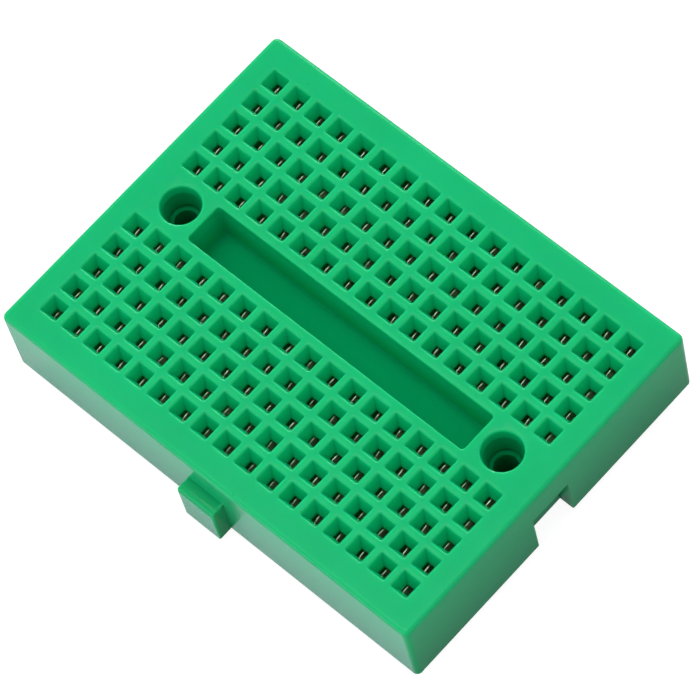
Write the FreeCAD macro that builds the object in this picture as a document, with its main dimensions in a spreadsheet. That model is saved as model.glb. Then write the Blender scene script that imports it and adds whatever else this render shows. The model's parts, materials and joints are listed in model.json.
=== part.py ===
import FreeCAD, Part
import Sketcher
import math
import os
import re

Vector = FreeCAD.Vector

COLUMNS = 17
ROWS_PER_BLOCK = 5
FIRST_ROW = 1.5         # pitches from the board's centre line to a block's nearest row
SAME = 1e-4             # two lengths closer than this, in millimetres, are the same

# Driving dimensions, in millimetres.
DIMENSIONS = {
    "pitch": 2.54,               # tie-point spacing, both ways
    "board_length": 47.0,        # along X
    "board_width": 35.0,         # along Y
    "housing_height": 8.5,
    "foam_thickness": 1.0,
    "liner_thickness": 0.1,
    "corner_radius": 0.6,        # upright corner edges
    "top_edge_radius": 0.45,     # rim of the top face
    "trough_length": 31.8,
    "trough_width": 4.0,
    "trough_depth": 4.5,
    "trough_corner_radius": 0.35,
    "opening_size": 1.75,        # square mouth of a tie point
    "throat_size": 0.80,         # square hole below the funnel
    "funnel_depth": 1.2,
    "roof_thickness": 1.4,       # top face to the slot's ceiling
    "slot_width": 1.6,
    "slot_length": 12.2,
    "screw_spacing": 37.12,
    "screw_hole_diameter": 2.2,
    "screw_head_diameter": 3.7,
    "screw_head_depth": 3.0,
    "tab_width": 4.1,
    "tab_reach": 1.4,
    "tab_height": 4.9,
    "tab_edge_radius": 0.35,
    "notch_width": 4.3,
    "notch_depth": 1.5,
    "notch_height": 4.95,
    "core_length": 9.0,          # sink pockets under the trough
    "core_width": 2.2,
    "core_depth": 2.6,
    "core_spacing": 10.6,
    "sheet_thickness": 0.2,      # contact clip strip
    "clip_length": 12.0,
    "clip_height": 6.7,
    "clip_half_width": 0.6,      # centre plane of the sheet, upright part
    "clip_side_height": 2.3,     # base to where the leaf starts to lean in
    "pinch_height": 5.4,         # base to the line where the leaves meet
    "pinch_half_gap": 0.15,      # centre plane of the sheet at that line
    "tip_half_gap": 0.26,        # inner face of the sheet at the tip
    "base_bend_radius": 0.3,
    "lean_bend_radius": 1.2,
    "pinch_bend_radius": 0.5,
    "clip_foam_gap": 0.1,
    "slit_width": 0.64,          # between neighbouring fingers
    "slit_floor": 1.5,           # base to the bottom of the slit
    "finger_round": 0.62,        # rounding of a finger's two tip corners
    "backing_length": 42.6,      # foam pad and liner
    "backing_width": 30.6,
    "backing_corner_radius": 1.0,
    "backing_hole_diameter": 3.2,
    "overlap": 0.5,              # how far a pad or cut runs past the face it starts from
}

doc = FreeCAD.newDocument("mini_breadboard")
sheet = doc.addObject("Spreadsheet::Sheet", "Dimensions")
for row, (alias, value) in enumerate(DIMENSIONS.items(), start=1):
    sheet.set(f"A{row}", alias)
    sheet.set(f"B{row}", str(value))
    sheet.setAlias(f"B{row}", alias)
doc.recompute()


def size(alias):
    """A driving dimension as a plain number, for first guesses that a sketch then solves."""
    return float(sheet.get(alias))


def cells(formula):
    """Puts the sheet's name before every alias in a formula."""
    return re.sub(r"[a-z_]+", lambda word: "Dimensions." * (word[0] in DIMENSIONS) + word[0], formula)


def new_body(name):
    body = doc.addObject("PartDesign::Body", name)
    body.Label = name
    return body


def origin_feature(body, role):
    return next(f for f in body.Origin.OriginFeatures if f.Role == role)


def new_sketch(body, name, role="XY_Plane", offset=None):
    """A sketch on one of the body's own origin planes, lifted off it by a formula."""
    sketch = body.newObject("Sketcher::SketchObject", name)
    sketch.AttachmentSupport = [(origin_feature(body, role), "")]
    sketch.MapMode = "FlatFace"
    if offset:
        sketch.setExpression("AttachmentOffset.Base.z", cells(offset))
    return sketch


def dimension(sketch, kind, *where, formula):
    """A dimensional constraint driven by the spreadsheet."""
    value = float(sketch.evalExpression(cells(formula)))
    index = sketch.addConstraint(Sketcher.Constraint(kind, *where, value))
    sketch.setExpression(f"Constraints[{index}]", cells(formula))


def add_loop(sketch, points):
    """A closed chain of straight edges through the points; returns the first edge's index."""
    first = sketch.GeometryCount
    count = len(points)
    for i, point in enumerate(points):
        after = points[(i + 1) % count]
        sketch.addGeometry(Part.LineSegment(Vector(*point, 0), Vector(*after, 0)), False)
    for i in range(count):
        sketch.addConstraint(
            Sketcher.Constraint("Coincident", first + i, 2, first + (i + 1) % count, 1)
        )
    return first


def place_corner(sketch, edge, x, y):
    """Fixes an edge's start point by two signed formulas measured from the origin."""
    dimension(sketch, "DistanceX", -1, 1, edge, 1, formula=x)
    dimension(sketch, "DistanceY", -1, 1, edge, 1, formula=y)


def rectangle(sketch, centre_x, centre_y, width, height):
    """An upright rectangle whose centre and sides are formulas of the driving dimensions."""
    first = add_loop(sketch, [(-1, -1), (1, -1), (1, 1), (-1, 1)])
    for edge, kind in enumerate(("Horizontal", "Vertical", "Horizontal", "Vertical")):
        sketch.addConstraint(Sketcher.Constraint(kind, first + edge))
    place_corner(
        sketch,
        first,
        f"{centre_x} - ( {width} ) / 2",
        f"{centre_y} - ( {height} ) / 2",
    )
    dimension(sketch, "DistanceX", first, 1, first, 2, formula=width)
    dimension(sketch, "DistanceY", first + 1, 1, first + 1, 2, formula=height)
    return first


def circle(sketch, x, diameter):
    """A circle centred on the sketch's horizontal axis."""
    index = sketch.addGeometry(Part.Circle(Vector(1, 0, 0), Vector(0, 0, 1), 1.0), False)
    sketch.addConstraint(Sketcher.Constraint("PointOnObject", index, 3, -1))
    dimension(sketch, "DistanceX", -1, 1, index, 3, formula=x)
    dimension(sketch, "Diameter", index, formula=diameter)
    return index


def pad(body, sketch, name, length, midplane=False):
    feature = body.newObject("PartDesign::Pad", name)
    feature.Profile = sketch
    feature.Midplane = midplane
    feature.setExpression("Length", cells(length))
    return feature


def pocket(body, sketch, name, depth=None, upwards=False):
    """Cuts a sketch down from its plane, or up from it; without a depth it cuts right through."""
    feature = body.newObject("PartDesign::Pocket", name)
    feature.Profile = sketch
    feature.Reversed = upwards
    if depth:
        feature.setExpression("Length", cells(depth))
    else:
        feature.Type = "ThroughAll"
    return feature


def fillet(body, name, edges, radius):
    base = body.Tip
    feature = body.newObject("PartDesign::Fillet", name)
    feature.Base = (base, edges)
    feature.setExpression("Radius", cells(radius))
    body.Tip = feature
    return feature


def edges_where(shape, test):
    return [f"Edge{i}" for i, edge in enumerate(shape.Edges, start=1) if test(edge)]


def is_upright(edge):
    box = edge.BoundBox
    return box.XLength < SAME and box.YLength < SAME and box.ZLength > SAME


def block_grid(body, features, sketch, name, columns_only=False):
    """Repeats the features of the first tie point over both blocks of the grid."""
    grid = body.newObject("PartDesign::MultiTransform", name)
    grid.Originals = features
    steps = []
    across = doc.addObject("PartDesign::LinearPattern", name + "Columns")
    across.Direction = (sketch, ["H_Axis"])
    across.setExpression("Length", cells(f"{COLUMNS - 1} * pitch"))
    across.Occurrences = COLUMNS
    body.addObject(across)
    steps.append(across)
    if not columns_only:
        along = doc.addObject("PartDesign::LinearPattern", name + "Rows")
        along.Direction = (sketch, ["V_Axis"])
        along.setExpression("Length", cells(f"{ROWS_PER_BLOCK - 1} * pitch"))
        along.Occurrences = ROWS_PER_BLOCK
        body.addObject(along)
        steps.append(along)
    mirror = doc.addObject("PartDesign::Mirrored", name + "Blocks")
    mirror.MirrorPlane = (origin_feature(body, "XZ_Plane"), [""])
    body.addObject(mirror)
    steps.append(mirror)
    grid.Transformations = steps
    body.Tip = grid
    return grid


FIRST_COLUMN_X = f"( 0 - {(COLUMNS - 1) // 2} ) * pitch"
FIRST_ROW_Y = f"{FIRST_ROW} * pitch"
BLOCK_CENTRE_Y = f"{FIRST_ROW + (ROWS_PER_BLOCK - 1) / 2} * pitch"


def make_housing():
    """Moulded block: its underside is on the body's XY plane and its top face is up."""
    body = new_body("housing")
    outline = new_sketch(body, "HousingOutline")
    rectangle(outline, "0", "0", "board_length", "board_width")
    pad(body, outline, "HousingBlock", "housing_height")
    doc.recompute()
    fillet(body, "CornerRounds", edges_where(body.Tip.Shape, is_upright), "corner_radius")
    doc.recompute()
    add_interlocks(body)
    round_top_rim(body)
    cut_trough(body)
    cut_screw_holes(body)
    cut_sink_pockets(body)
    cut_tie_points(body)
    cut_contact_slots(body)
    body.setExpression("Placement.Base.z", cells("foam_thickness + liner_thickness"))
    return body


def add_interlocks(body):
    """Tabs on the front and left sides, and the matching notches behind and on the right."""
    tabs = new_sketch(body, "TabOutline")
    reach = "( tab_reach + overlap )"
    shift = "( tab_reach - overlap ) / 2"
    rectangle(tabs, "0", f"0 - board_width / 2 - {shift}", "tab_width", reach)
    rectangle(tabs, f"0 - board_length / 2 - {shift}", "0", reach, "tab_width")
    pad(body, tabs, "InterlockTabs", "tab_height")
    doc.recompute()
    outside_x = size("board_length") / 2 + size("tab_reach") / 2
    outside_y = size("board_width") / 2 + size("tab_reach") / 2

    def is_tab_corner(edge):
        centre = edge.BoundBox.Center
        beyond = abs(centre.x) > outside_x or abs(centre.y) > outside_y
        return is_upright(edge) and beyond

    fillet(body, "TabRounds", edges_where(body.Tip.Shape, is_tab_corner), "tab_edge_radius")
    notches = new_sketch(body, "NotchOutline")
    depth = "( notch_depth + overlap )"
    shift = "( notch_depth - overlap ) / 2"
    rectangle(notches, "0", f"board_width / 2 - {shift}", "notch_width", depth)
    rectangle(notches, f"board_length / 2 - {shift}", "0", depth, "notch_width")
    pocket(body, notches, "InterlockNotches", "notch_height", upwards=True)
    doc.recompute()


def round_top_rim(body):
    top = size("housing_height")

    def on_rim(edge):
        box = edge.BoundBox
        return box.ZMin > top - SAME

    fillet(body, "TopRim", edges_where(body.Tip.Shape, on_rim), "top_edge_radius")
    doc.recompute()


def cut_trough(body):
    """Centre channel that a dual in-line package straddles."""
    outline = new_sketch(body, "TroughOutline", offset="housing_height")
    rectangle(outline, "0", "0", "trough_length", "trough_width")
    pocket(body, outline, "Trough", "trough_depth")
    doc.recompute()
    half_length = size("trough_length") / 2

    def is_trough_corner(edge):
        centre = edge.BoundBox.Center
        inside = abs(abs(centre.x) - half_length) < SAME and abs(centre.y) < size("trough_width")
        return is_upright(edge) and inside

    corners = edges_where(body.Tip.Shape, is_trough_corner)
    fillet(body, "TroughCorners", corners, "trough_corner_radius")
    doc.recompute()


def cut_screw_holes(body):
    """A stepped hole beyond each end of the trough."""
    for name, diameter, depth in (
        ("ScrewHeadRecess", "screw_head_diameter", "screw_head_depth"),
        ("ScrewHole", "screw_hole_diameter", None),
    ):
        centres = new_sketch(body, name + "Circles", offset="housing_height")
        for side in (-1, 1):
            circle(centres, f"( 0 + {side} ) * screw_spacing / 2", diameter)
        pocket(body, centres, name, depth)
    doc.recompute()


def cut_contact_slots(body):
    """One slot per column and block, open at the underside."""
    outline = new_sketch(body, "SlotOutline")
    rectangle(outline, FIRST_COLUMN_X, BLOCK_CENTRE_Y, "slot_width", "slot_length")
    slot = pocket(body, outline, "ContactSlot", "housing_height - roof_thickness", upwards=True)
    doc.recompute()
    block_grid(body, [slot], outline, "ContactSlots", columns_only=True)
    doc.recompute()


def cut_tie_points(body):
    """Square funnels in the top face, each with a straight throat into its slot."""
    mouth = new_sketch(body, "FunnelMouth", offset="housing_height")
    rectangle(mouth, FIRST_COLUMN_X, FIRST_ROW_Y, "opening_size", "opening_size")
    funnel = pocket(body, mouth, "Funnel", "funnel_depth")
    taper = "-atan((opening_size - throat_size) / 2 / funnel_depth)"
    funnel.setExpression("TaperAngle", cells(taper))
    throat = new_sketch(body, "ThroatOutline", offset="housing_height")
    rectangle(throat, FIRST_COLUMN_X, FIRST_ROW_Y, "throat_size", "throat_size")
    hole = pocket(body, throat, "Throat", "roof_thickness + overlap")
    doc.recompute()
    block_grid(body, [funnel, hole], throat, "TiePoints")
    doc.recompute()


def cut_sink_pockets(body):
    """Three pockets under the trough keep the wall there even."""
    outline = new_sketch(body, "SinkPocketOutline")
    for place in (-1, 0, 1):
        rectangle(outline, f"( 0 + {place} ) * core_spacing", "0", "core_length", "core_width")
    pocket(body, outline, "SinkPockets", "core_depth", upwards=True)
    doc.recompute()


def arc(sketch, centre_x, centre_y, radius, start_angle, end_angle):
    """An anticlockwise arc, in degrees, as a first guess for the sketch to solve."""
    ring = Part.Circle(Vector(centre_x, centre_y, 0), Vector(0, 0, 1), radius)
    span = (math.radians(start_angle), math.radians(end_angle))
    return sketch.addGeometry(Part.ArcOfCircle(ring, *span), False)


def line(sketch, start, end):
    return sketch.addGeometry(Part.LineSegment(Vector(*start, 0), Vector(*end, 0)), False)


def join(sketch, kind, first, second, point):
    """Joins the ends of two edges that lie nearest a point."""

    def nearest_end(edge):
        geometry = sketch.Geometry[edge]
        gaps = [(end - Vector(*point, 0)).Length for end in (geometry.StartPoint, geometry.EndPoint)]
        return 1 + gaps.index(min(gaps))

    ends = (first, nearest_end(first), second, nearest_end(second))
    sketch.addConstraint(Sketcher.Constraint(kind, *ends))


def draw_strip_side(profile, offset, outer):
    """One face of the folded strip, half a sheet away from its centre line: the outer face
    follows the outside of the base bend and the inside of the pinch bend."""
    mid = size("sheet_thickness") / 2
    side_x = size("clip_half_width") + offset
    side_top = size("clip_side_height")
    bend = size("base_bend_radius") + offset
    lean = size("lean_bend_radius") + offset
    pinch = size("pinch_bend_radius") - offset
    centre_x = size("clip_half_width") - size("base_bend_radius")
    centre_z = mid + size("base_bend_radius")
    pinch_x = size("pinch_half_gap") + size("pinch_bend_radius")
    pinch_z = size("pinch_height")
    tip = (size("tip_half_gap") + offset, size("clip_height"))
    leaf_foot = (side_x, side_top + 0.1 * lean)
    below_pinch = (pinch_x - pinch, pinch_z - 0.3 * pinch)
    above_pinch = (pinch_x - pinch, pinch_z + 0.3 * pinch)
    base_z = centre_z - bend
    chain = (
        line(profile, (0, base_z), (centre_x, base_z)),
        arc(profile, centre_x, centre_z, bend, -90, 0),
        line(profile, (side_x, centre_z), (side_x, side_top)),
        arc(profile, side_x - lean, side_top, lean, 0, 9),
        line(profile, leaf_foot, below_pinch),
        arc(profile, pinch_x, pinch_z, pinch, 160, 190),
        line(profile, above_pinch, tip),
    )
    meeting_points = (
        (centre_x, base_z),
        (side_x, centre_z),
        (side_x, side_top),
        leaf_foot,
        below_pinch,
        above_pinch,
    )
    for first, second, point in zip(chain, chain[1:], meeting_points):
        join(profile, "Tangent", first, second, point)
    base, base_bend, side, lean_bend, _, pinch_bend, _ = chain
    profile.addConstraint(Sketcher.Constraint("Horizontal", base))
    profile.addConstraint(Sketcher.Constraint("Vertical", side))
    sign = "+" if outer else "-"
    other = "-" if outer else "+"
    half = "sheet_thickness / 2"
    dimension(profile, "DistanceX", -1, 1, side, 1, formula=f"clip_half_width {sign} {half}")
    dimension(profile, "DistanceY", -1, 1, side, 2, formula="clip_side_height")
    dimension(profile, "DistanceY", -1, 1, base_bend, 3, formula=f"{half} + base_bend_radius")
    dimension(profile, "Radius", base_bend, formula=f"base_bend_radius {sign} {half}")
    dimension(profile, "Radius", lean_bend, formula=f"lean_bend_radius {sign} {half}")
    dimension(profile, "Radius", pinch_bend, formula=f"pinch_bend_radius {other} {half}")
    dimension(profile, "DistanceX", -1, 1, pinch_bend, 3, formula="pinch_half_gap + pinch_bend_radius")
    dimension(profile, "DistanceY", -1, 1, pinch_bend, 3, formula="pinch_height")
    return chain


def draw_half_strip(body):
    """Section of the folded strip from the middle of its base to one leaf's tip."""
    profile = new_sketch(body, "HalfStripSection", role="XZ_Plane")
    half = size("sheet_thickness") / 2
    outer = draw_strip_side(profile, half, outer=True)
    inner = draw_strip_side(profile, -half, outer=False)
    middle = line(profile, (0, 0), (0, 2 * half))
    join(profile, "Coincident", middle, outer[0], (0, 0))
    join(profile, "Coincident", middle, inner[0], (0, 2 * half))
    profile.addConstraint(Sketcher.Constraint("Vertical", middle))
    profile.addConstraint(Sketcher.Constraint("PointOnObject", outer[0], 1, -2))
    outer_tip = profile.Geometry[outer[-1]].EndPoint
    inner_tip = profile.Geometry[inner[-1]].EndPoint
    cap = line(profile, (outer_tip.x, outer_tip.y), (inner_tip.x, inner_tip.y))
    profile.addConstraint(Sketcher.Constraint("Coincident", cap, 1, outer[-1], 2))
    profile.addConstraint(Sketcher.Constraint("Coincident", cap, 2, inner[-1], 2))
    profile.addConstraint(Sketcher.Constraint("Perpendicular", cap, inner[-1]))
    profile.addConstraint(Sketcher.Constraint("Parallel", outer[-1], inner[-1]))
    dimension(profile, "DistanceX", -1, 1, inner[-1], 2, formula="tip_half_gap")
    dimension(profile, "DistanceY", -1, 1, inner[-1], 2, formula="clip_height")
    return profile


def draw_slit(body):
    """Gap between two fingers: round at the bottom, widening round the fingers' tips."""
    slit = new_sketch(body, "SlitOutline", role="YZ_Plane")
    middle = -ROWS_PER_BLOCK / 2 * size("pitch")
    half = size("slit_width") / 2
    floor = size("slit_floor")
    rounding = size("finger_round")
    top = size("clip_height") + size("sheet_thickness") / 2
    shoulder = top - rounding
    above = size("clip_height") + 2 * size("overlap")
    left, right = middle - half, middle + half
    wide_left, wide_right = left - rounding, right + rounding
    edges = (
        arc(slit, middle, floor + half, half, 180, 360),
        line(slit, (right, floor + half), (right, shoulder)),
        arc(slit, wide_right, shoulder, rounding, 90, 180),
        line(slit, (wide_right, top), (wide_right, above)),
        line(slit, (wide_right, above), (wide_left, above)),
        line(slit, (wide_left, above), (wide_left, top)),
        arc(slit, wide_left, shoulder, rounding, 0, 90),
        line(slit, (left, shoulder), (left, floor + half)),
    )
    meeting_points = (
        (right, floor + half),
        (right, shoulder),
        (wide_right, top),
        (wide_right, above),
        (wide_left, above),
        (wide_left, top),
        (left, shoulder),
        (left, floor + half),
    )
    floor_arc, right_side, right_arc, right_rise, ceiling, left_rise, left_arc, left_side = edges
    for first, second, point in zip(edges, edges[1:] + edges[:1], meeting_points):
        smooth = {first, second} & {right_side, left_side}
        join(slit, "Tangent" if smooth else "Coincident", first, second, point)
    for edge in (right_side, right_rise, left_rise, left_side):
        slit.addConstraint(Sketcher.Constraint("Vertical", edge))
    slit.addConstraint(Sketcher.Constraint("Horizontal", ceiling))
    slit.addConstraint(Sketcher.Constraint("Equal", right_arc, left_arc))
    dimension(slit, "DistanceX", floor_arc, 3, -1, 1, formula=f"{ROWS_PER_BLOCK / 2} * pitch")
    dimension(slit, "DistanceY", -1, 1, floor_arc, 3, formula="slit_floor + slit_width / 2")
    dimension(slit, "Radius", floor_arc, formula="slit_width / 2")
    dimension(slit, "Radius", right_arc, formula="finger_round")
    shoulder_height = "clip_height + sheet_thickness / 2 - finger_round"
    for side_arc in (right_arc, left_arc):
        dimension(slit, "DistanceY", -1, 1, side_arc, 3, formula=shoulder_height)
    dimension(slit, "DistanceX", right_side, 1, right_rise, 1, formula="finger_round")
    dimension(slit, "DistanceX", left_rise, 1, left_side, 1, formula="finger_round")
    dimension(slit, "DistanceY", -1, 1, ceiling, 1, formula="clip_height + 2 * overlap")
    return slit


def make_clip(name, column, side):
    """One spring strip of five finger pairs, folded up from sheet; side is -1 front, 1 back."""
    body = new_body(name)
    section = draw_half_strip(body)
    half = pad(body, section, "HalfStrip", "clip_length", midplane=True)
    doc.recompute()
    mirror = body.newObject("PartDesign::Mirrored", "WholeStrip")
    mirror.Originals = [half]
    mirror.MirrorPlane = (origin_feature(body, "YZ_Plane"), [""])
    body.Tip = mirror
    slit_outline = draw_slit(body)
    slit = pocket(body, slit_outline, "Slit")
    slit.Midplane = True
    slits = body.newObject("PartDesign::LinearPattern", "Slits")
    slits.Originals = [slit]
    slits.Direction = (slit_outline, ["H_Axis"])
    slits.setExpression("Length", cells(f"{ROWS_PER_BLOCK} * pitch"))
    slits.Occurrences = ROWS_PER_BLOCK + 1
    body.Tip = slits
    middle = (COLUMNS - 1) / 2
    body.setExpression("Placement.Base.x", cells(f"{column - middle} * pitch"))
    body.setExpression("Placement.Base.y", cells(f"{side} * ({BLOCK_CENTRE_Y})"))
    body.setExpression(
        "Placement.Base.z", cells("foam_thickness + liner_thickness + clip_foam_gap")
    )
    return body


def make_backing_sheet(name, thickness, base_height):
    """A die-cut sheet under the housing, holed for the two screws."""
    body = new_body(name)
    outline = new_sketch(body, name + "_outline")
    rectangle(outline, "0", "0", "backing_length", "backing_width")
    pad(body, outline, name + "_sheet", thickness)
    doc.recompute()
    corners = edges_where(body.Tip.Shape, is_backing_corner)
    fillet(body, name + "_corners", corners, "backing_corner_radius")
    holes = new_sketch(body, name + "_holes", offset=thickness)
    for side in (-1, 1):
        circle(holes, f"{side} * screw_spacing / 2", "backing_hole_diameter")
    pocket(body, holes, name + "_screw_clearance")
    body.setExpression("Placement.Base.z", cells(base_height))
    return body


def is_backing_corner(edge):
    box = edge.BoundBox
    return box.XLength < SAME and box.YLength < SAME


def make_clips():
    """Front block first, then back block, each numbered from the left."""
    clips = []
    for letters, side in (("ae", -1), ("fj", 1)):
        for column in range(COLUMNS):
            clips.append(make_clip(f"contact_clip_{letters}_{column + 1:02d}", column, side))
    return clips


def check_document():
    failed = [o.Name for o in doc.Objects if {"Invalid", "Error"} & set(o.State)]
    if failed:
        raise RuntimeError(f"objects that did not recompute: {failed}")


def export(bodies):
    os.makedirs("parts", exist_ok=True)
    for body in bodies:
        shape = body.Shape
        if shape.isNull() or not shape.isValid() or len(shape.Solids) != 1:
            raise RuntimeError(f"{body.Label} is not one valid solid")
        shape.exportStep(f"parts/{body.Label}.step")


sub_parts = [
    make_housing(),
    *make_clips(),
    make_backing_sheet("adhesive_foam_pad", "foam_thickness", "liner_thickness"),
    make_backing_sheet("release_liner", "liner_thickness", "0"),
]
doc.recompute()
check_document()
export(sub_parts)
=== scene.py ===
import json
import math
import random
from collections import namedtuple

import bpy
import bmesh
from mathutils import Matrix, Vector, noise
from mathutils.geometry import delaunay_2d_cdt

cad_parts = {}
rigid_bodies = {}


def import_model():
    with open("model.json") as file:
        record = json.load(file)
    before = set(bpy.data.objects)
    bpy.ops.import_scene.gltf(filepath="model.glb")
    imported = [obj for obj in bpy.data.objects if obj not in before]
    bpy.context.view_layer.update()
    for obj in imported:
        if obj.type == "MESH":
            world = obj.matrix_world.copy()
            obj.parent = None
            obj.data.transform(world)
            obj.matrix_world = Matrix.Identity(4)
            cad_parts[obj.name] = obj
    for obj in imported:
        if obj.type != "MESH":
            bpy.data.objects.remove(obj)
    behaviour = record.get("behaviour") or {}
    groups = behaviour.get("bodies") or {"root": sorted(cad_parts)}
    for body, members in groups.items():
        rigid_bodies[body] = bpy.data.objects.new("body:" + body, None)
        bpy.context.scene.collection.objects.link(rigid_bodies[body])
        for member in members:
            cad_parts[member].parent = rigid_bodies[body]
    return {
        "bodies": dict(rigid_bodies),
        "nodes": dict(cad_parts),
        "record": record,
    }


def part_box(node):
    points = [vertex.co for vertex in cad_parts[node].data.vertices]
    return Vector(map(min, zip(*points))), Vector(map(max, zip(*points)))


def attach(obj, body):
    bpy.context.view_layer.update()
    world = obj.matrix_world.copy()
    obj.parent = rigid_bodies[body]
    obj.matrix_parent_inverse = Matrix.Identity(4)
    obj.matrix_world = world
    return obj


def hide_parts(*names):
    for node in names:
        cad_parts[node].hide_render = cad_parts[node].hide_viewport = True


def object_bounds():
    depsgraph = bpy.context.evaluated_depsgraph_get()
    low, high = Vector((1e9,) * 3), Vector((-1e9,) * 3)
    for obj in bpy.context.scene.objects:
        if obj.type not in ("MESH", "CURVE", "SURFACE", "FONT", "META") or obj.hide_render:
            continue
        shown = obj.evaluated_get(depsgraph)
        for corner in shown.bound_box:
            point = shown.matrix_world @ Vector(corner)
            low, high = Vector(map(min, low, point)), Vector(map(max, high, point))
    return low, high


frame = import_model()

MM = 0.001  # metres in a millimetre; a size is in millimetres where nothing else is said
CAD_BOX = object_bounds()


# ---------------------------------------------------------------- sizes from the frame

def box_mm(node):
    """A CAD node's lowest and highest corners, in millimetres."""
    low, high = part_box(node)
    return low / MM, high / MM


def mount(name):
    """The CAD record's entry for a place where the board meets another part."""
    return next(entry for entry in frame["record"]["mounts"] if entry["name"] == name)


CLIPS = {
    side: sorted(node for node in frame["nodes"] if node.startswith(f"contact_clip_{side}_"))
    for side in ("ae", "fj")
}
HOUSING_LOW, HOUSING_HIGH = box_mm("housing")
FOAM_LOW, FOAM_HIGH = box_mm("adhesive_foam_pad")
LINER_LOW, LINER_HIGH = box_mm("release_liner")
CLIP_LOW, CLIP_HIGH = box_mm(CLIPS["ae"][0])
BOTTOM = HOUSING_LOW.z
TOP = HOUSING_HIGH.z
HALF_LENGTH = HOUSING_HIGH.x
HALF_WIDTH = HOUSING_HIGH.y
PITCH = (box_mm(CLIPS["ae"][1])[0] - CLIP_LOW).x
COLUMN_X = [sum(corner.x for corner in box_mm(clip)) / 2 for clip in CLIPS["ae"]]
SCREW_X = mount("screw_holes")["dims"]["spacing_x_mm"] / 2
SCREW_RADIUS = mount("screw_holes")["dims"]["hole_r_mm"]
SCREW_FLOOR = mount("screw_holes")["pos_m"][2] / MM

# ---------------------------------------------------------------- sizes of the moulding

ROWS = 5
ROW_GAP = 3             # pitches between the two rows beside the trough
BLOCK_MIDDLE = (ROW_GAP / 2 + (ROWS - 1) / 2) * PITCH   # centre line to a block's middle row
OPENING = 1.72          # mouth of a tie point at the top face
OPENING_CORNER = 0.12
OPENING_LIP = 0.26      # rounding of its rim
THROAT = 0.80           # square hole under its funnel
THROAT_CORNER = 0.08
FUNNEL_DEPTH = 1.2
ROOF = 1.4              # top face to the ceiling of the clip slots
RIM_WANDER = 0.03       # how far the rims of the openings stray from straight
RIM = 0.45              # rounding of the top face's outer edge
CORNER = 0.6            # rounding of the upright corner edges
SLOT_WIDTH = 1.6
SLOT_LENGTH = 12.2
SLOT_CORNER = 0.12
TROUGH_LENGTH = 31.8
TROUGH_WIDTH = 4.0
TROUGH_DEPTH = 4.5
TROUGH_CORNER = 0.35
TROUGH_LIP = 0.16
TROUGH_DRAFT = 0.06     # how far each wall comes in on the way down
TROUGH_FILLET = 0.35    # rounding between its walls and its floor
SCREW_HEAD_RADIUS = 1.85
SCREW_HEAD_LIP = 0.22
SCREW_HEAD_FILLET = 0.4
SCREW_LIP = 0.16
CHAMFER = 0.1           # of the slots and screw holes at the underside
POCKET_LENGTH = 9.0
POCKET_WIDTH = 2.2
POCKET_DEPTH = 2.6
POCKET_CORNER = 0.3
POCKET_SPACING = 10.6
TAB_WIDTH = 4.1
TAB_HEIGHT = 4.9
TAB_REACH = -HOUSING_LOW.y - HALF_WIDTH - 0.01      # a hair inside the CAD's own reach
NOTCH_WIDTH = 4.3
NOTCH_DEPTH = 1.5
NOTCH_HEIGHT = 4.95
EDGE_ROUND = 0.6        # rounding of a tab's crest; other outer edges get a share of it


# ---------------------------------------------------------------- outlines

def rounded_rectangle(centre, width, height, radius, steps=3, pieces=(1, 1)):
    """Anticlockwise points of a rectangle with round corners of so many steps each. The sides
    along x and along y are divided into so many pieces."""
    points = []
    for quarter, (sx, sy) in enumerate(((1, 1), (-1, 1), (-1, -1), (1, -1))):
        hub = Vector((sx * (width / 2 - radius), sy * (height / 2 - radius))) + Vector(centre)
        for step in range(steps + 1):
            angle = math.radians(90 * (quarter + step / steps))
            points.append(hub + radius * Vector((math.cos(angle), math.sin(angle))))
        if quarter % 2 == 0:
            side = Vector(((2 * radius - width) * sx, 0))
        else:
            side = Vector((0, (2 * radius - height) * sy))
        count = pieces[quarter % 2]
        points += [points[-1] + side * i / count for i in range(1, count)]
    return [tuple(point) for point in points]


def circle(centre, radius, steps=48):
    """Anticlockwise points of a circle."""
    x, y = centre
    turns = [math.tau * i / steps for i in range(steps)]
    return [(x + radius * math.cos(turn), y + radius * math.sin(turn)) for turn in turns]


def rounding(radius, lean=90, steps=4):
    """(grow, depth, wear_and_highlight) along a lip that turns from the flat top to a wall at an
    angle of lean degrees to it. The weight for wear and painted highlight is 1 where the lip
    stands out most and 0 at both of its ends."""
    rings = []
    for step in range(steps + 1):
        angle = math.radians(lean * step / steps)
        wear_and_highlight = math.sin(math.pi * step / steps)
        rings.append((radius * (1 - math.sin(angle)), radius * (1 - math.cos(angle)), wear_and_highlight))
    return rings


# ---------------------------------------------------------------- mesh building

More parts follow.
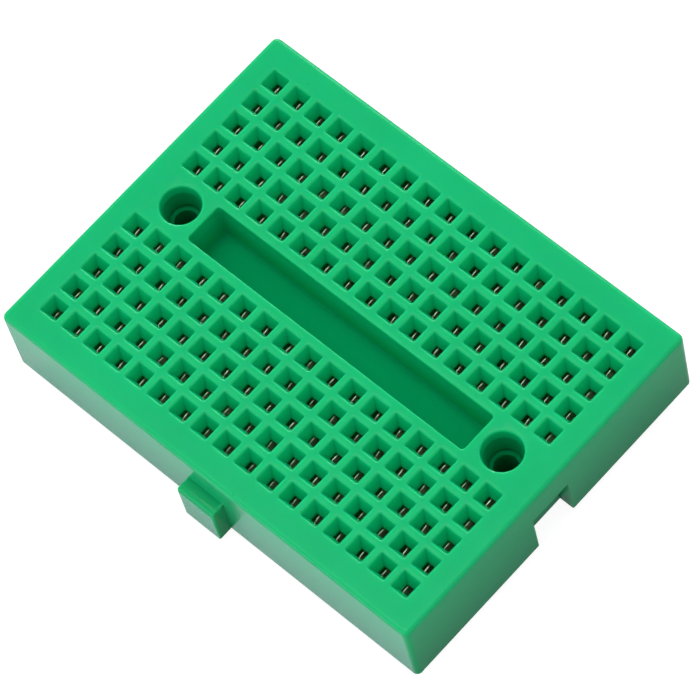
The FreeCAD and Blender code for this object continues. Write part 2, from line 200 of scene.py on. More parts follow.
class Shell:
    """A closed surface put together from loops of points, walls between them and flat caps."""

    def __init__(self):
        self.bm = bmesh.new()
        # Weight of each rim vertex for edge wear and a painted highlight on the lips.
        self.wear_and_highlight = self.bm.verts.layers.float.new("wear_and_highlight")

    def loop(self, points, z, wear_and_highlight=0.0):
        """A ring of vertices at one height."""
        verts = [self.bm.verts.new(Vector((x, y, z)) * MM) for x, y in points]
        for vert in verts:
            vert[self.wear_and_highlight] = wear_and_highlight
        return verts

    def wall(self, first, second):
        """A band of quads between two loops of the same number of points."""
        count = len(first)
        for i in range(count):
            j = (i + 1) % count
            self.bm.faces.new((first[i], first[j], second[j], second[i]))

    def stack(self, loops):
        """Walls from each loop to the next."""
        for first, second in zip(loops, loops[1:]):
            self.wall(first, second)

    def cap(self, outline, holes=(), drop=2):
        """Fills a flat face inside a loop and outside its holes, seen along axis number drop."""
        loops = [list(outline), *map(list, holes)]
        verts = [vert for loop in loops for vert in loop]
        keep = [axis for axis in range(3) if axis != drop]
        flat = [Vector((vert.co[keep[0]], vert.co[keep[1]])) / MM for vert in verts]
        edge = flat[:len(outline)]
        if sum(a.cross(b) for a, b in zip(edge, edge[1:] + edge[:1])) < 0:
            flat = [Vector((-point.x, point.y)) for point in flat]
        faces = []
        start = 0
        for loop in loops:
            faces.append(list(range(start, start + len(loop))))
            start += len(loop)
        _, _, triangles, sources, _, owners = delaunay_2d_cdt(flat, [], faces, 1, 1e-6, True)
        for triangle, owner in zip(triangles, owners):
            if owner == [0]:
                self.bm.faces.new([verts[sources[i][0]] for i in triangle])

    def finish(self, name, material):
        """Turns the shell into an object with a material."""
        bmesh.ops.recalc_face_normals(self.bm, faces=self.bm.faces)
        mesh = bpy.data.meshes.new(name)
        self.bm.to_mesh(mesh)
        self.bm.free()
        obj = bpy.data.objects.new(name, mesh)
        bpy.context.scene.collection.objects.link(obj)
        mesh.materials.append(material)
        return obj


def smooth(obj, angle=40):
    """Smooth shading that keeps edges sharper than the angle, with flat faces kept flat."""
    for polygon in obj.data.polygons:
        polygon.use_smooth = True
    obj.data.set_sharp_from_angle(angle=math.radians(angle))
    weighted = obj.modifiers.new("FlatFaces", "WEIGHTED_NORMAL")
    weighted.keep_sharp = True
    weighted.weight = 100


# ---------------------------------------------------------------- housing

def tie_point(shell, centre):
    """One tie point: a rounded rim, a square funnel and a throat. Returns its two open loops."""

    def ring(grow, depth, wear_and_highlight=0.0):
        side = OPENING + 2 * grow
        outline = rounded_rectangle(centre, side, side, max(OPENING_CORNER + grow, THROAT_CORNER))
        return shell.loop(uneven_rim(outline, wear_and_highlight), TOP - depth, wear_and_highlight)

    narrowing = (OPENING - THROAT) / 2
    steepness = math.degrees(math.atan(FUNNEL_DEPTH / narrowing))
    lip = rounding(OPENING_LIP, steepness, 5)
    loops = [ring(*step) for step in lip]
    lip_grow, lip_depth, _ = lip[-1]
    for share in (0.5, 0.93):
        grow = lip_grow + (-narrowing - lip_grow) * share
        loops.append(ring(grow, lip_depth + (FUNNEL_DEPTH - lip_depth) * share))
    loops.append(ring(-narrowing, FUNNEL_DEPTH + 0.05))
    loops.append(ring(-narrowing, ROOF))
    shell.stack(loops)
    return loops[0], loops[-1]


def uneven_rim(points, amount):
    """Moves a rim's points a few hundredths of a millimetre, as a worn mould leaves them."""
    moved = []
    for x, y in points:
        shift = noise.noise_vector(Vector((x, y, 0)) * 1.3) * RIM_WANDER * amount
        moved.append((x + shift.x, y + shift.y))
    return moved


def clip_slot(shell, centre, throats):
    """The slot that holds one clip, from its ceiling to the underside. Returns its mouth."""
    loops = []
    for grow, height in ((0, TOP - ROOF), (0, BOTTOM + 2.5 * CHAMFER), (CHAMFER, BOTTOM)):
        size = (SLOT_WIDTH + 2 * grow, SLOT_LENGTH + 2 * grow)
        outline = rounded_rectangle(centre, *size, SLOT_CORNER + grow, 2)
        loops.append(shell.loop(outline, height))
    shell.stack(loops)
    shell.cap(loops[0], throats)
    return loops[-1]


def tie_point_blocks(shell):
    """Both blocks of tie points with their slots. Returns the open loops of each face."""
    top_loops = []
    bottom_loops = []
    for block_y in (-BLOCK_MIDDLE, BLOCK_MIDDLE):
        for column_x in COLUMN_X:
            throats = []
            for row in range(ROWS):
                row_y = block_y + (row - (ROWS - 1) / 2) * PITCH
                mouth, throat = tie_point(shell, (column_x, row_y))
                top_loops.append(mouth)
                throats.append(throat)
            bottom_loops.append(clip_slot(shell, (column_x, block_y), throats))
    return top_loops, bottom_loops


def trough(shell):
    """The centre channel with drafted walls and a soft floor edge. Returns its open loop."""

    def ring(grow, depth, wear_and_highlight=0.0):
        size = (TROUGH_LENGTH + 2 * grow, TROUGH_WIDTH + 2 * grow)
        outline = rounded_rectangle((0, 0), *size, max(TROUGH_CORNER + grow, 0.03), 5, (60, 8))
        return shell.loop(uneven_rim(outline, wear_and_highlight), TOP - depth, wear_and_highlight)

    loops = [ring(*step) for step in rounding(TROUGH_LIP)]
    loops.append(ring(-TROUGH_DRAFT, TROUGH_DEPTH - TROUGH_FILLET))
    for step in range(1, 5):
        angle = math.radians(90 * step / 4)
        inward = TROUGH_FILLET * (1 - math.cos(angle))
        rise = TROUGH_FILLET * (1 - math.sin(angle))
        loops.append(ring(-TROUGH_DRAFT - inward * 0.9, TROUGH_DEPTH - rise))
    shell.stack(loops)
    shell.cap(loops[-1])
    return loops[0]


def screw_hole(shell, x):
    """A screw hole with its head recess. Returns its open loops in the two faces."""
    rings = [
        (SCREW_HEAD_RADIUS + grow, TOP - depth, wear_and_highlight)
        for grow, depth, wear_and_highlight in rounding(SCREW_HEAD_LIP)
    ]
    rings += [
        (SCREW_HEAD_RADIUS - SCREW_HEAD_FILLET + grow, SCREW_FLOOR + depth, 0)
        for grow, depth, _ in reversed(rounding(SCREW_HEAD_FILLET))
    ]
    rings += [
        (SCREW_RADIUS + grow, SCREW_FLOOR - depth, wear_and_highlight)
        for grow, depth, wear_and_highlight in rounding(SCREW_LIP)
    ]
    rings += [(SCREW_RADIUS, BOTTOM + CHAMFER, 0), (SCREW_RADIUS + CHAMFER, BOTTOM, 0)]
    loops = [shell.loop(circle((x, 0), radius), height, wear_and_highlight) for radius, height, wear_and_highlight in rings]
    shell.stack(loops)
    return loops[0], loops[-1]


def sink_pocket(shell, x):
    """One of the pockets under the trough. Returns its open loop."""
    loops = []
    for grow, height in ((0.08, 0.0), (0.0, 0.12), (-0.06, POCKET_DEPTH)):
        size = (POCKET_LENGTH + 2 * grow, POCKET_WIDTH + 2 * grow)
        outline = rounded_rectangle((x, 0), *size, POCKET_CORNER + grow)
        loops.append(shell.loop(outline, BOTTOM + height))
    shell.stack(loops)
    shell.cap(loops[-1])
    return loops[0]


def side_wall(shell, rim, foot, edge, half, reach, height):
    """One upright side with its tab or notch: rim and foot are the wall's upper and lower
    corners from left to right, and edge maps (sideways, outwards, height) to a point. A tab or
    notch is 2 * half wide, and reach is above 0 for a tab. Returns its points on the underside."""

    def point(sideways, outwards, up):
        return shell.bm.verts.new(Vector(edge(sideways, outwards, BOTTOM + up)) * MM)

    left = point(-half, 0, 0)
    right = point(half, 0, 0)
    left_top = point(-half, 0, height)
    right_top = point(half, 0, height)
    far_left = point(-half, reach, 0)
    far_right = point(half, reach, 0)
    far_left_top = point(-half, reach, height)
    far_right_top = point(half, reach, height)
    wall = [rim[0], rim[1], foot[1], right, right_top, left_top, left, foot[0]]
    away_x, away_y, _ = edge(0, 0, 0)
    shell.cap(wall, drop=0 if abs(away_x) > abs(away_y) else 1)
    shell.bm.faces.new((left_top, right_top, far_right_top, far_left_top))
    shell.bm.faces.new((far_left_top, far_right_top, far_right, far_left))
    shell.bm.faces.new((left, left_top, far_left_top, far_left))
    shell.bm.faces.new((right, right_top, far_right_top, far_right))
    return [left, far_left, far_right, right]


def outer_walls(shell):
    """Rounded rim, upright corners and four sides. Returns the loops of the top and underside."""
    steps = 4

    def ring(inset, z, wear_and_highlight=0.0):
        outline = rounded_rectangle(
            (0, 0), 2 * (HALF_LENGTH - inset), 2 * (HALF_WIDTH - inset), CORNER - inset, steps
        )
        return shell.loop(outline, z, wear_and_highlight)

    loops = [ring(grow, TOP - depth, wear_and_highlight) for grow, depth, wear_and_highlight in rounding(RIM, steps=6)]
    shell.stack(loops)
    rim = loops[-1]
    foot = ring(0, BOTTOM)
    per_corner = steps + 1
    underside = []
    tab = (TAB_WIDTH / 2, TAB_REACH, TAB_HEIGHT)
    notch = (NOTCH_WIDTH / 2, -NOTCH_DEPTH, NOTCH_HEIGHT)
    sides = (
        (lambda sideways, out, height: (-sideways, HALF_WIDTH + out, height), notch),
        (lambda sideways, out, height: (-HALF_LENGTH - out, -sideways, height), tab),
        (lambda sideways, out, height: (sideways, -HALF_WIDTH - out, height), tab),
        (lambda sideways, out, height: (HALF_LENGTH + out, sideways, height), notch),
    )
    for quarter, (edge, shape) in enumerate(sides):
        first = quarter * per_corner
        for i in range(first, first + steps):
            shell.bm.faces.new((rim[i], rim[i + 1], foot[i + 1], foot[i]))
        here = first + steps
        after = (first + per_corner) % len(rim)
        base = side_wall(shell, (rim[here], rim[after]), (foot[here], foot[after]), edge, *shape)
        underside += foot[first:first + per_corner] + base
    return loops[0], underside


def round_outer_edges(obj):
    """Rounds the outer edges that stand out: the tabs' crests, and lightly the tabs' and
    notches' other edges and the underside's outline."""
    weights = obj.data.attributes.new("bevel_weight_edge", "FLOAT", "EDGE")
    bm = bmesh.new()
    bm.from_mesh(obj.data)
    near = 0.01
    wide = 0.1
    half = max(TAB_WIDTH, NOTCH_WIDTH) / 2 + wide
    for edge in bm.edges:
        if edge.calc_face_angle_signed(0) < math.radians(60):
            continue
        middle = (edge.verts[0].co + edge.verts[1].co) / 2 / MM
        outside = max(abs(middle.x) - HALF_LENGTH, abs(middle.y) - HALF_WIDTH)
        height = middle.z - BOTTOM
        midway = min(abs(middle.x), abs(middle.y)) < half and height < NOTCH_HEIGHT + wide
        if outside > -NOTCH_DEPTH - wide and midway:
            crest = outside > TAB_REACH - near and height > TAB_HEIGHT - near
            weights.data[edge.index].value = 1.0 if crest else 0.25
        elif outside > -near and height < near:
            weights.data[edge.index].value = 0.2
    bm.free()
    bevel = obj.modifiers.new("EdgeRounds", "BEVEL")
    bevel.limit_method = "WEIGHT"
    bevel.width = EDGE_ROUND * MM
    bevel.segments = 4
    bevel.use_clamp_overlap = False


def make_housing(material):
    """The moulded block with its openings, as one closed surface."""
    shell = Shell()
    top_loops, bottom_loops = tie_point_blocks(shell)
    top_loops.append(trough(shell))
    for side in (-1, 1):
        upper, lower = screw_hole(shell, side * SCREW_X)
        top_loops.append(upper)
        bottom_loops.append(lower)
    for place in (-1, 0, 1):
        bottom_loops.append(sink_pocket(shell, place * POCKET_SPACING))
    top_outline, bottom_outline = outer_walls(shell)
    shell.cap(top_outline, top_loops)
    shell.cap(bottom_outline, bottom_loops)
    obj = shell.finish("housing_moulding", material)
    round_outer_edges(obj)
    smooth(obj)
    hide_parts("housing")
    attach(obj, "housing")


# ---------------------------------------------------------------- contact clips

SHEET = 0.2             # thickness of the metal
CLIP_HALF = 0.6         # centre plane of a clip's upright sides
SIDE_HEIGHT = 2.3       # where the leaves start to lean in
PINCH_HEIGHT = 5.4      # where they grip a wire
PINCH_HALF_GAP = 0.15
TIP_HEIGHT = 6.66
TIP_HALF_GAP = 0.36
TIP_DOME = 0.3          # how far a tip falls away at its edges
HOLLOW = 0.08           # how far a leaf curves in across its width
BENDS = (0.3, 1.2, 0.5)     # radii at the base, the lean and the pinch
SLIT_FLOOR = 1.5        # height of the foot of the slits between leaves
SLIT_WIDTH = 0.64
LEAF_CORNER = 0.62
LEAF_COLUMNS = 8

Bend = namedtuple("Bend", "lean flare droop roll crown")


def bent_path(corners, radii, arc_steps=8):
    """Points of a line through the corners, with an arc of each radius at the inner ones."""
    points = [corners[0]]
    for before, corner, after, radius in zip(corners, corners[1:], corners[2:], radii):
        incoming = (corner - before).normalized()
        outgoing = (after - corner).normalized()
        turn = incoming.angle_signed(outgoing)
        side = Vector((incoming.y, -incoming.x)) * math.copysign(1, turn)
        start = corner - incoming * radius * math.tan(abs(turn) / 2)
        for step in range(arc_steps + 1):
            angle = abs(turn) * step / arc_steps
            points.append(
                start + incoming * radius * math.sin(angle) + side * radius * (1 - math.cos(angle))
            )
    points.append(corners[-1])
    return points


def along(points, distance):
    """The point at a distance along a line of points."""
    for first, second in zip(points, points[1:]):
        length = (second - first).length
        if distance <= length:
            return first.lerp(second, distance / length if length else 0)
        distance -= length
    return points[-1]


def line_length(points):
    """The length of a line of points."""
    return sum((b - a).length for a, b in zip(points, points[1:]))


def leaf_half_width(from_slit, to_tip):
    """Half the width of a leaf. The slit beside it starts round, and its tip has round corners."""
    foot = SLIT_WIDTH / 2
    if from_slit <= 0:
        return PITCH / 2
    width = PITCH / 2 - foot
    if from_slit < foot:
        width = PITCH / 2 - math.sqrt(foot ** 2 - (foot - from_slit) ** 2)
    if to_tip < LEAF_CORNER:
        drop = math.sqrt(max(LEAF_CORNER ** 2 - (LEAF_CORNER - to_tip) ** 2, 0))
        width -= LEAF_CORNER - drop
    return width


def leaf_rows(floor, tip):
    """Distances along the strip, from the middle of its base to a leaf's tip."""
    foot = SLIT_WIDTH / 2
    rows = [floor * i / 12 for i in range(12)]
    rows += [floor + foot * (1 - math.cos(math.radians(90 * i / 4))) for i in range(5)]
    plain = tip - LEAF_CORNER - rows[-1]
    rows += [rows[-1] + plain * i / 14 for i in range(1, 15)]
    rows += [tip - LEAF_CORNER * (1 - math.sin(math.radians(90 * i / 5))) for i in range(1, 6)]
    return rows


def leaf(bm, centre, row, mirror, bend):
    """One leaf with its part of the clip's side and half its base. The bend's lean and flare move
    the pinch and the tip outwards, droop lowers the tip and roll turns the leaf about its
    length. The domed tip is highest at crown, which is 0 in the middle and 1 at the edge."""
    half = SHEET / 2
    pinch_gap = PINCH_HALF_GAP + bend.lean
    tip_gap = TIP_HALF_GAP + bend.lean + bend.flare
    corners = [
        Vector((0, half)),
        Vector((CLIP_HALF, half)),
        Vector((CLIP_HALF, SIDE_HEIGHT)),
        Vector((pinch_gap, PINCH_HEIGHT)),
        Vector((tip_gap, TIP_HEIGHT - bend.droop)),
    ]
    path = bent_path(corners, BENDS)
    tip = line_length(path)
    floor = line_length(bent_path(corners[:2] + [Vector((CLIP_HALF, SLIT_FLOOR))], BENDS[:1]))
    end = (CLIP_HIGH.y - CLIP_LOW.y) / 2
    middle = (row - (ROWS - 1) / 2) * PITCH
    grid = []
    for distance in leaf_rows(floor, tip):
        point = along(path, distance)
        width = leaf_half_width(distance - floor, tip - distance)
        rise = max(distance - floor, 0) / (tip - floor)
        first = max(-end, middle - width)
        last = min(end, middle + width)
        line = []
        for column in range(LEAF_COLUMNS + 1):
            y = first + (last - first) * column / LEAF_COLUMNS
            across = (y - middle) / (PITCH / 2)
            x = point.x + rise * (bend.roll * across + HOLLOW * across ** 2)
            z = CLIP_LOW.z + point.y - TIP_DOME * rise ** 4 * (across - bend.crown) ** 2
            line.append(bm.verts.new(Vector((centre[0] + mirror * x, centre[1] + y, z)) * MM))
        grid.append(line)
    for lower, upper in zip(grid, grid[1:]):
        for i in range(LEAF_COLUMNS):
            face = (lower[i], lower[i + 1], upper[i + 1], upper[i])
            bm.faces.new(face if mirror > 0 else face[::-1])


def make_clip(node, material):
    """One contact clip: a strip with five pairs of leaves, each pair bent a little differently."""
    low, high = box_mm(node)
    centre = ((low.x + high.x) / 2, (low.y + high.y) / 2)
    chance = random.Random(node)
    bm = bmesh.new()
    for row in range(ROWS):
        sideways = chance.uniform(-0.05, 0.05)
        for mirror in (-1, 1):
            bend = Bend(
                lean=mirror * sideways + chance.uniform(-0.02, 0.03),
                flare=chance.uniform(-0.10, 0.08),
                droop=chance.uniform(0, 0.25),
                roll=chance.uniform(-0.16, 0.04),
                crown=chance.uniform(0.25, 0.75),
            )
            leaf(bm, centre, row, mirror, bend)
    bmesh.ops.remove_doubles(bm, verts=bm.verts, dist=0.001 * MM)
    mesh = bpy.data.meshes.new(node)
    bm.to_mesh(mesh)
    bm.free()
    obj = bpy.data.objects.new(node.replace("contact_clip", "clip_metal"), mesh)
    bpy.context.scene.collection.objects.link(obj)
    mesh.materials.append(material)
    thick = obj.modifiers.new("Sheet", "SOLIDIFY")
    thick.thickness = SHEET * MM
    thick.offset = 0
    thick.use_even_offset = True
    smooth(obj, 50)
    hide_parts(node)
    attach(obj, node.replace("contact_clip", "clip"))


# ---------------------------------------------------------------- foam pad and liner

BACKING_CORNER = 1.0
BACKING_HOLE = 1.6      # radius of the clearance holes under the screw holes


def backing_slab(name, low, high, levels, ripple, material):
    """A sheet with round corners and two holes. Each level is (share of its thickness, how far
    its edges draw in), and ripple is how far the cut edges wander."""
    shell = Shell()
    outlines = []
    holes = [[], []]

    def uneven(points, z, centre, inward):
        """Points drawn in towards the centre, each by its own amount."""
        moved = []
        for x, y in points:
            away = Vector((x - centre[0], y - centre[1])).normalized()
            pull = ripple * (0.5 + 0.5 * noise.noise(Vector((x, y, z * 3)) * 1.7)) + inward
            moved.append((x - away.x * pull, y - away.y * pull))
        return moved

    for share, inward in levels:
        z = low.z + (high.z - low.z) * share
        size = (high.x - low.x, high.y - low.y)
        edge = rounded_rectangle((0, 0), *size, BACKING_CORNER, 6, (70, 50))
        outlines.append(shell.loop(uneven(edge, z, (0, 0), inward), z))
        for i, side in enumerate((-1, 1)):
            centre = (side * SCREW_X, 0)
            ring = circle(centre, BACKING_HOLE + ripple / 2)
            holes[i].append(shell.loop(uneven(ring, z, centre, -inward), z))
    for stack in (outlines, *holes):
        shell.stack(stack)
    shell.cap(outlines[0], [hole[0] for hole in holes])
    shell.cap(outlines[-1], [hole[-1] for hole in holes])
    obj = shell.finish(name, material)
    smooth(obj)
    return obj


def make_foam(material):
    """The pad of double-sided tape, whose soft edge is hollow between its two skins."""
    levels = ((0, 0.0), (0.12, 0.03), (0.5, 0.08), (0.88, 0.03), (1, 0.0))
    obj = backing_slab("foam_tape", FOAM_LOW, FOAM_HIGH, levels, 0.07, material)
    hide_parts("adhesive_foam_pad")
    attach(obj, "foam_pad")


def make_liner(material):
    """The paper over the pad's glue."""
    levels = ((0, 0.02), (0.3, 0.0), (0.7, 0.0), (1, 0.02))
    obj = backing_slab("liner_sheet", LINER_LOW, LINER_HIGH, levels, 0.01, material)
    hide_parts("release_liner")
    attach(obj, "liner")


# ---------------------------------------------------------------- materials

class Nodes:
    """Builds one material's node tree; every texture uses the piece's own coordinates."""

    def __init__(self, name):
        self.material = bpy.data.materials.new(name)
        self.material.use_nodes = True
        self.tree = self.material.node_tree
        self.surface = self.tree.nodes["Principled BSDF"]
        self.place = self.tree.nodes.new("ShaderNodeTexCoord").outputs["Object"]

    def add(self, kind, inputs=(), **settings):
        """A node with its inputs and settings."""
        node = self.tree.nodes.new(kind)
        for setting, value in settings.items():
            setattr(node, setting, value)
        for socket, value in dict(inputs).items():
            self.put(node.inputs[socket], value)
        return node

    def put(self, socket, value):
        """Links a node's output to a socket, or gives the socket a plain value."""
        if isinstance(value, bpy.types.NodeSocket):
            self.tree.links.new(value, socket)
        else:
            socket.default_value = value

    def give(self, name, value):
        """Sets or links one of the surface's inputs."""
        self.put(self.surface.inputs[name], value)

    def axis(self, letter, vector=None):
        """X, Y or Z of a vector, or else of the place on the piece."""
        inputs = {"Vector": vector or self.place}
        return self.add("ShaderNodeSeparateXYZ", inputs).outputs[letter]

    def stretched(self, *factors):
        """The place on the piece, with each axis multiplied by its factor."""
        inputs = {"Vector": self.place, "Scale": factors}
        return self.add("ShaderNodeMapping", inputs).outputs["Vector"]

    def cells(self, size_mm):
        """The distance to the middle of the nearest round cell."""
        inputs = {"Vector": self.place, "Scale": 1 / (size_mm * MM)}
        return self.add("ShaderNodeTexVoronoi", inputs).outputs["Distance"]

    def noise(self, size_mm, detail=2.0, roughness=0.5, place=None):
        """Cloudy values around 0.5 that change over about the size."""
        inputs = {
            "Vector": place or self.place,
            "Scale": 1 / (size_mm * MM),
            "Detail": detail,
            "Roughness": roughness,
        }
        return self.add("ShaderNodeTexNoise", inputs).outputs["Fac"]

    def ramp(self, value, *stops):
        """Maps a value through (position, colour or grey) stops."""
        node = self.add("ShaderNodeValToRGB", {"Fac": value})
        elements = node.color_ramp.elements
        while len(elements) < len(stops):
            elements.new(0.5)
        for element, (position, colour) in zip(elements, stops):
            element.position = position
            grey = not isinstance(colour, tuple)
            element.color = (colour, colour, colour, 1) if grey else (*colour, 1)
        return node.outputs["Color"]

    def span(self, value, low, high, to_low, to_high):
        """Maps low to high onto to_low to to_high, and holds the ends."""
        inputs = {
            "Value": value,
            "From Min": low,
            "From Max": high,
            "To Min": to_low,
            "To Max": to_high,
        }
        return self.add("ShaderNodeMapRange", inputs).outputs["Result"]

    def mix(self, share, first, second):
        """A share of the second colour over the first."""
        node = self.add("ShaderNodeMix", data_type="RGBA")
        for socket, value in zip((0, 6, 7), (share, first, second)):
            if isinstance(value, tuple) and len(value) == 3:
                value = (*value, 1)
            self.put(node.inputs[socket], value)
        return node.outputs[2]

    def math(self, operation, first, second=0.0):
        """One step of arithmetic."""
        node = self.add("ShaderNodeMath", {0: first, 1: second}, operation=operation)
        return node.outputs["Value"]

    def size_of(self, value):
        """A value without its sign."""
        return self.math("ABSOLUTE", value)

    def below(self, value, limit):
        """1 below the limit and 0 above it."""
        return self.math("LESS_THAN", value, limit)

    def product(self, first, *others):
        """All the values multiplied."""
        for other in others:
            first = self.math("MULTIPLY", first, other)
        return first

    def bump(self, height, distance_mm, strength=1.0, normal=None):
        """Surface directions for a relief of so many millimetres, on top of an earlier one."""
        inputs = {"Height": height, "Distance": distance_mm * MM, "Strength": strength}
        if normal:
            inputs["Normal"] = normal
        return self.add("ShaderNodeBump", inputs).outputs["Normal"]


def in_recess(n):
    """1 on the floors of the trough and the screw head recesses, which the mould leaves dull.
    Beyond the trough it also masks painted shade in the screw holes.
    """
    lengthwise = n.below(n.size_of(n.axis("X")), (SCREW_X + SCREW_HEAD_RADIUS) * MM)
    across = n.below(n.size_of(n.axis("Y")), TROUGH_WIDTH / 2 * MM)
    deep = n.below(n.axis("Z"), (TOP - 1) * MM)
    return n.product(lengthwise, across, deep)


def beyond_trough(n):
    """1 beyond the ends of the trough."""
    return n.math("GREATER_THAN", n.size_of(n.axis("X")), (TROUGH_LENGTH / 2 + 0.3) * MM)


def in_slots(n):
    """1 in the clip slots and throats."""
    off_middle = n.math("SUBTRACT", n.size_of(n.axis("Y")), BLOCK_MIDDLE * MM)
    lengthwise = n.below(n.size_of(off_middle), SLOT_LENGTH / 2 * MM)
    column = n.size_of(n.math("DIVIDE", n.axis("X"), PITCH * MM))
    part = n.math("FRACT", n.math("ADD", column, 0.5))
    off_column = n.size_of(n.math("SUBTRACT", part, 0.5))
    across = n.below(off_column, (SLOT_WIDTH / 2 + 0.01) / PITCH)
    low = n.below(n.axis("Z"), (TOP - FUNNEL_DEPTH) * MM)
    inside = n.below(n.size_of(n.axis("X")), (COLUMN_X[-1] + 1) * MM)
    return n.product(lengthwise, across, low, inside)


def plastic_colour(n, wear_and_highlight):
    """A slightly uneven green, paler on worn edges from wear and a painted highlight, darker in a
    few specks, and darker from painted shade in the screw holes and towards the foot."""
    flow = n.noise(1.6, 4, 0.6, n.stretched(0.15, 1.0, 1.0))
    specks = n.span(n.noise(0.35, 1), 0.76, 0.80, 0.0, 0.5)
    # Painted shade: the walls darken towards the foot.
    foot = n.span(n.axis("Z"), BOTTOM * MM, (TOP - 1.5) * MM, 0.36, 0.0)
    colour = n.ramp(n.noise(9, 3), (0.3, (0.0006, 0.460, 0.168)), (0.7, (0.0008, 0.490, 0.184)))
    colour = n.mix(n.span(flow, 0.35, 0.75, 0.0, 0.25), colour, (0.006, 0.50, 0.18))
    # Paler rims: partly real wear, partly a painted highlight on the rounded lips.
    colour = n.mix(n.product(wear_and_highlight, 0.15), colour, (0.02, 0.50, 0.24))
    # Painted shade in the screw head recesses and holes.
    colour = n.mix(n.product(in_recess(n), beyond_trough(n)), colour, (0.0006, 0.30, 0.10))
    colour = n.mix(specks, colour, (0.002, 0.30, 0.10))
    return n.mix(foot, colour, (0.0, 0.0, 0.0))


def plastic_gloss(n, wear_and_highlight):
    """More shine at a grazing view and on worn edges, and none in the recesses."""
    facing = n.add("ShaderNodeLayerWeight", {"Blend": 0.5}).outputs["Facing"]
    gloss = n.ramp(facing, (0.2, 0.18), (0.6, 0.15), (0.78, 0.55))
    gloss = n.math("ADD", gloss, n.product(wear_and_highlight, 0.04))
    return n.product(gloss, n.math("SUBTRACT", 1, in_recess(n)))


def painted_slot_glow(n):
    """How brightly the slots' and throats' walls glow: a painted glow standing for light soaked
    through the thin roof, most of it close under the funnels."""
    share = n.span(n.axis("Z"), (TOP - 3) * MM, (TOP - FUNNEL_DEPTH) * MM, 0.0, 0.025)
    return n.product(share, in_slots(n))


def green_plastic():
    """Moulded green ABS with a fine spark-eroded grain, edges paler from wear and a painted
    highlight, faint flow marks, painted shade in the screw holes and at the foot, and a painted
    green glow in the slots.
    """
    n = Nodes("green_abs")
    wear_and_highlight = n.add("ShaderNodeAttribute", attribute_name="wear_and_highlight").outputs["Fac"]
    grain = n.bump(n.noise(0.06, 2, 0.6), 0.004, 0.5)
    n.give("Base Color", plastic_colour(n, wear_and_highlight))
    n.give("Normal", n.bump(n.noise(3.0, 2), 0.02, 0.12, grain))
    n.give("Roughness", n.span(n.noise(1.2, 3), 0.3, 0.7, 0.18, 0.26))
    n.give("Specular IOR Level", plastic_gloss(n, wear_and_highlight))
    # Painted green glow in the slots and throats, in place of light through the roof.
    n.give("Emission Color", (0.0, 1.0, 0.16, 1))
    n.give("Emission Strength", painted_slot_glow(n))
    n.give("Subsurface Weight", 0.8)
    n.give("Subsurface Radius", (0.1, 1.0, 0.45))
    n.give("Subsurface Scale", 1.4 * MM)
    return n.material


def spring_metal():
    """Plated spring bronze: a pale metal with rolling lines and dull spots, tinted green as a
    painted reflection of the green housing.
    """
    n = Nodes("plated_bronze")
    lines = n.noise(0.12, 2, 0.5, n.stretched(1.0, 0.08, 1.0))
    spots = n.noise(0.8, 4, 0.6)
    # The green tint is a painted reflection of the housing around the clips.
    n.give("Base Color", n.ramp(spots, (0.35, (0.48, 0.60, 0.42)), (0.65, (0.62, 0.74, 0.55))))
    n.give("Metallic", 0.9)
    n.give("Roughness", n.span(spots, 0.3, 0.7, 0.26, 0.36))
    n.give("Normal", n.bump(lines, 0.001, 0.3))
    return n.material


def tape_foam():
    """Closed-cell polyethylene foam: off-white and faintly stained, with small and large round
    cells whose hollows are darker with painted shade."""
    n = Nodes("tape_foam")
    small = n.span(n.cells(0.16), 0.1, 0.6, 0.0, 0.6)
    large = n.span(n.cells(0.4), 0.1, 0.5, 0.0, 0.4)
    depth = n.math("ADD", small, large)
    stain = n.span(n.noise(4, 3), 0.4, 0.8, 0.0, 0.35)
    # Painted shade: darker where the cells sink in.
    colour = n.ramp(depth, (0.1, (0.56, 0.54, 0.47)), (0.7, (0.82, 0.81, 0.75)))
    n.give("Base Color", n.mix(stain, colour, (0.74, 0.71, 0.60)))
    n.give("Roughness", 0.85)
    n.give("Normal", n.bump(depth, 0.05, 0.8))
    n.give("Subsurface Weight", 0.1)
    n.give("Subsurface Scale", 0.5 * MM)
    return n.material


def waxed_paper():
    """Silicone-coated release paper: pale yellow fibres under a faint gloss."""
    n = Nodes("waxed_paper")
    fibres = n.noise(0.12, 5, 0.65, n.stretched(0.25, 1.0, 1.0))
    cloud = n.noise(5, 3)
    colour = n.ramp(fibres, (0.35, (0.72, 0.66, 0.50)), (0.65, (0.84, 0.79, 0.64)))
    n.give("Base Color", n.mix(n.span(cloud, 0.4, 0.7, 0.0, 0.3), colour, (0.86, 0.83, 0.72)))
    n.give("Roughness", n.span(cloud, 0.3, 0.7, 0.36, 0.5))
    n.give("Normal", n.bump(fibres, 0.01, 0.5))
    return n.material


def floor_glow(n):
    """How brightly the floor is seen, directly and in glossy surfaces. It lights nothing, and a
    thin line of shadow stays around every piece. A wall sees less glow in the floor than the
    camera does, and most of it in the floor before the board."""
    seen = n.add("ShaderNodeLightPath").outputs
    towards = n.add("ShaderNodeNewGeometry").outputs["Incoming"]
    from_right = n.math("GREATER_THAN", n.axis("X", towards), 0)
    before = n.span(n.axis("Y"), -HALF_WIDTH * MM, -HALF_WIDTH * MM * 0.95, 1, 0)
    mirrored = n.span(n.product(before, from_right), 0, 1, 0.19, 0.54)
    glow = n.math("MAXIMUM", seen["Is Camera Ray"], n.product(mirrored, seen["Is Glossy Ray"]))
    around = n.add("ShaderNodeAmbientOcclusion", {"Distance": 0.5 * MM}, samples=16).outputs["AO"]
    return n.product(glow, n.span(around, 0.69, 0.76, 0, 1), 0.88)


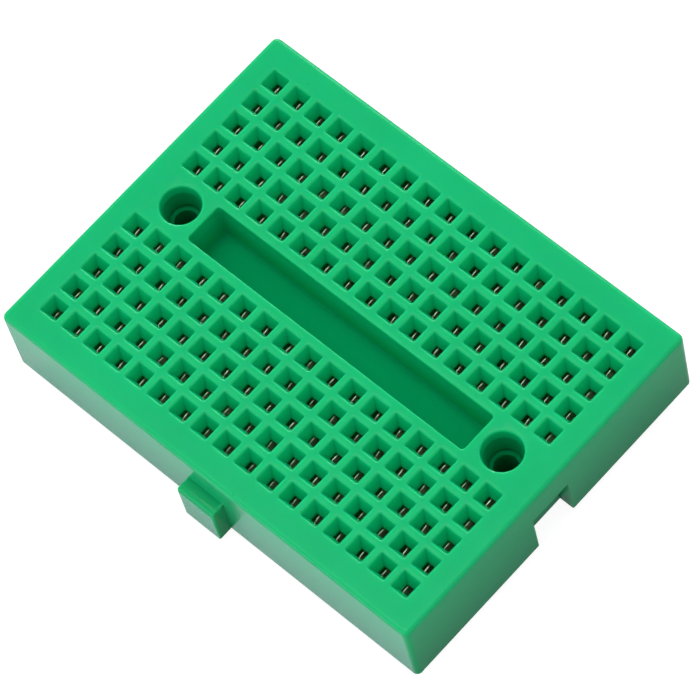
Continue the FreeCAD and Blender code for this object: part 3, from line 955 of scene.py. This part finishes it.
def floor_paper():
    """Grey paper that glows white, and a little bluer where it is mirrored."""
    n = Nodes("floor_paper")
    seen = n.add("ShaderNodeLightPath").outputs
    n.give("Base Color", n.ramp(n.noise(40, 3), (0.3, 0.29), (0.7, 0.31)))
    n.give("Roughness", n.span(n.noise(20, 2), 0.3, 0.7, 0.85, 0.95))
    n.give("Normal", n.bump(n.noise(0.5, 3), 0.02, 0.3))
    n.give("Emission Color", n.mix(seen["Is Glossy Ray"], (1.0, 1.0, 1.0), (0.88, 1.05, 1.25)))
    n.give("Emission Strength", floor_glow(n))
    return n.material


# ---------------------------------------------------------------- studio

def make_floor():
    """A floor under the liner. It goes down with it, so that it stays under every piece."""
    mesh = bpy.data.meshes.new("floor")
    reach = 1500 * MM
    corners = [(-reach, -reach, 0), (reach, -reach, 0), (reach, reach, 0), (-reach, reach, 0)]
    mesh.from_pydata(corners, [], [(0, 1, 2, 3)])
    floor = bpy.data.objects.new("floor", mesh)
    floor.location.z = CAD_BOX[0][2] - 0.02 * MM
    floor.parent = frame["bodies"]["liner"]
    bpy.context.scene.collection.objects.link(floor)
    mesh.materials.append(floor_paper())
    return floor


def hide_from_below(floor, camera):
    """Leaves the floor out when the camera is under it, so that the underside can be seen."""
    driver = floor.driver_add("hide_render").driver
    for name, source in (("camera_height", camera), ("floor_height", floor)):
        variable = driver.variables.new()
        variable.name = name
        variable.type = "TRANSFORMS"
        variable.targets[0].id = source
        variable.targets[0].transform_type = "LOC_Z"
        variable.targets[0].transform_space = "WORLD_SPACE"
    driver.expression = "camera_height < floor_height"


def softbox(name, position, size, power):
    """A lamp that faces the board, with its position and size in metres and power in watts."""
    light = bpy.data.lights.new(name, "AREA")
    light.shape = "RECTANGLE"
    light.size, light.size_y = size
    light.energy = power
    obj = bpy.data.objects.new(name, light)
    obj.location = position
    obj.rotation_euler = (-Vector(position)).to_track_quat("-Z", "Y").to_euler()
    bpy.context.scene.collection.objects.link(obj)


def light_room():
    """An even white room with soft lamps behind on the left, above and low in front."""
    world = bpy.data.worlds.new("room")
    world.use_nodes = True
    background = world.node_tree.nodes["Background"]
    background.inputs["Color"].default_value = (1, 1, 1, 1)
    background.inputs["Strength"].default_value = 0.66
    bpy.context.scene.world = world
    softbox("key", (-0.60, 0.65, 0.45), (0.5, 0.5), 4.5)
    softbox("top", (-0.10, -0.05, 0.90), (0.5, 0.5), 2.2)
    softbox("front", (-0.05, -0.50, 0.06), (0.5, 0.1), 0.7)


def place_camera():
    """A long lens high above the right of the board. The camera turns about the upright axis,
    tilts up from looking straight down and rolls about its own line of sight."""
    turn = 57.58
    tilt = 27.41
    roll = -16.95
    distance = 403.95
    target = Vector((2.30, -1.07, TOP)) * MM
    lens = bpy.data.cameras.new("camera")
    lens.sensor_width = 36
    lens.lens = 247.2
    lens.clip_start = 10 * MM
    lens.clip_end = 10000 * MM
    camera = bpy.data.objects.new("camera", lens)
    camera.matrix_world = (
        Matrix.Translation(target)
        @ Matrix.Rotation(math.radians(turn), 4, "Z")
        @ Matrix.Rotation(math.radians(tilt), 4, "X")
        @ Matrix.Rotation(math.radians(roll), 4, "Z")
        @ Matrix.Translation((0, 0, distance * MM))
    )
    bpy.context.scene.collection.objects.link(camera)
    bpy.context.scene.camera = camera
    return camera


def main():
    """Builds every piece and the studio."""
    make_housing(green_plastic())
    metal = spring_metal()
    for side in CLIPS.values():
        for node in side:
            make_clip(node, metal)
    make_foam(tape_foam())
    make_liner(waxed_paper())
    floor = make_floor()
    light_room()
    hide_from_below(floor, place_camera())
    bpy.context.scene.view_settings.view_transform = "Standard"


main()
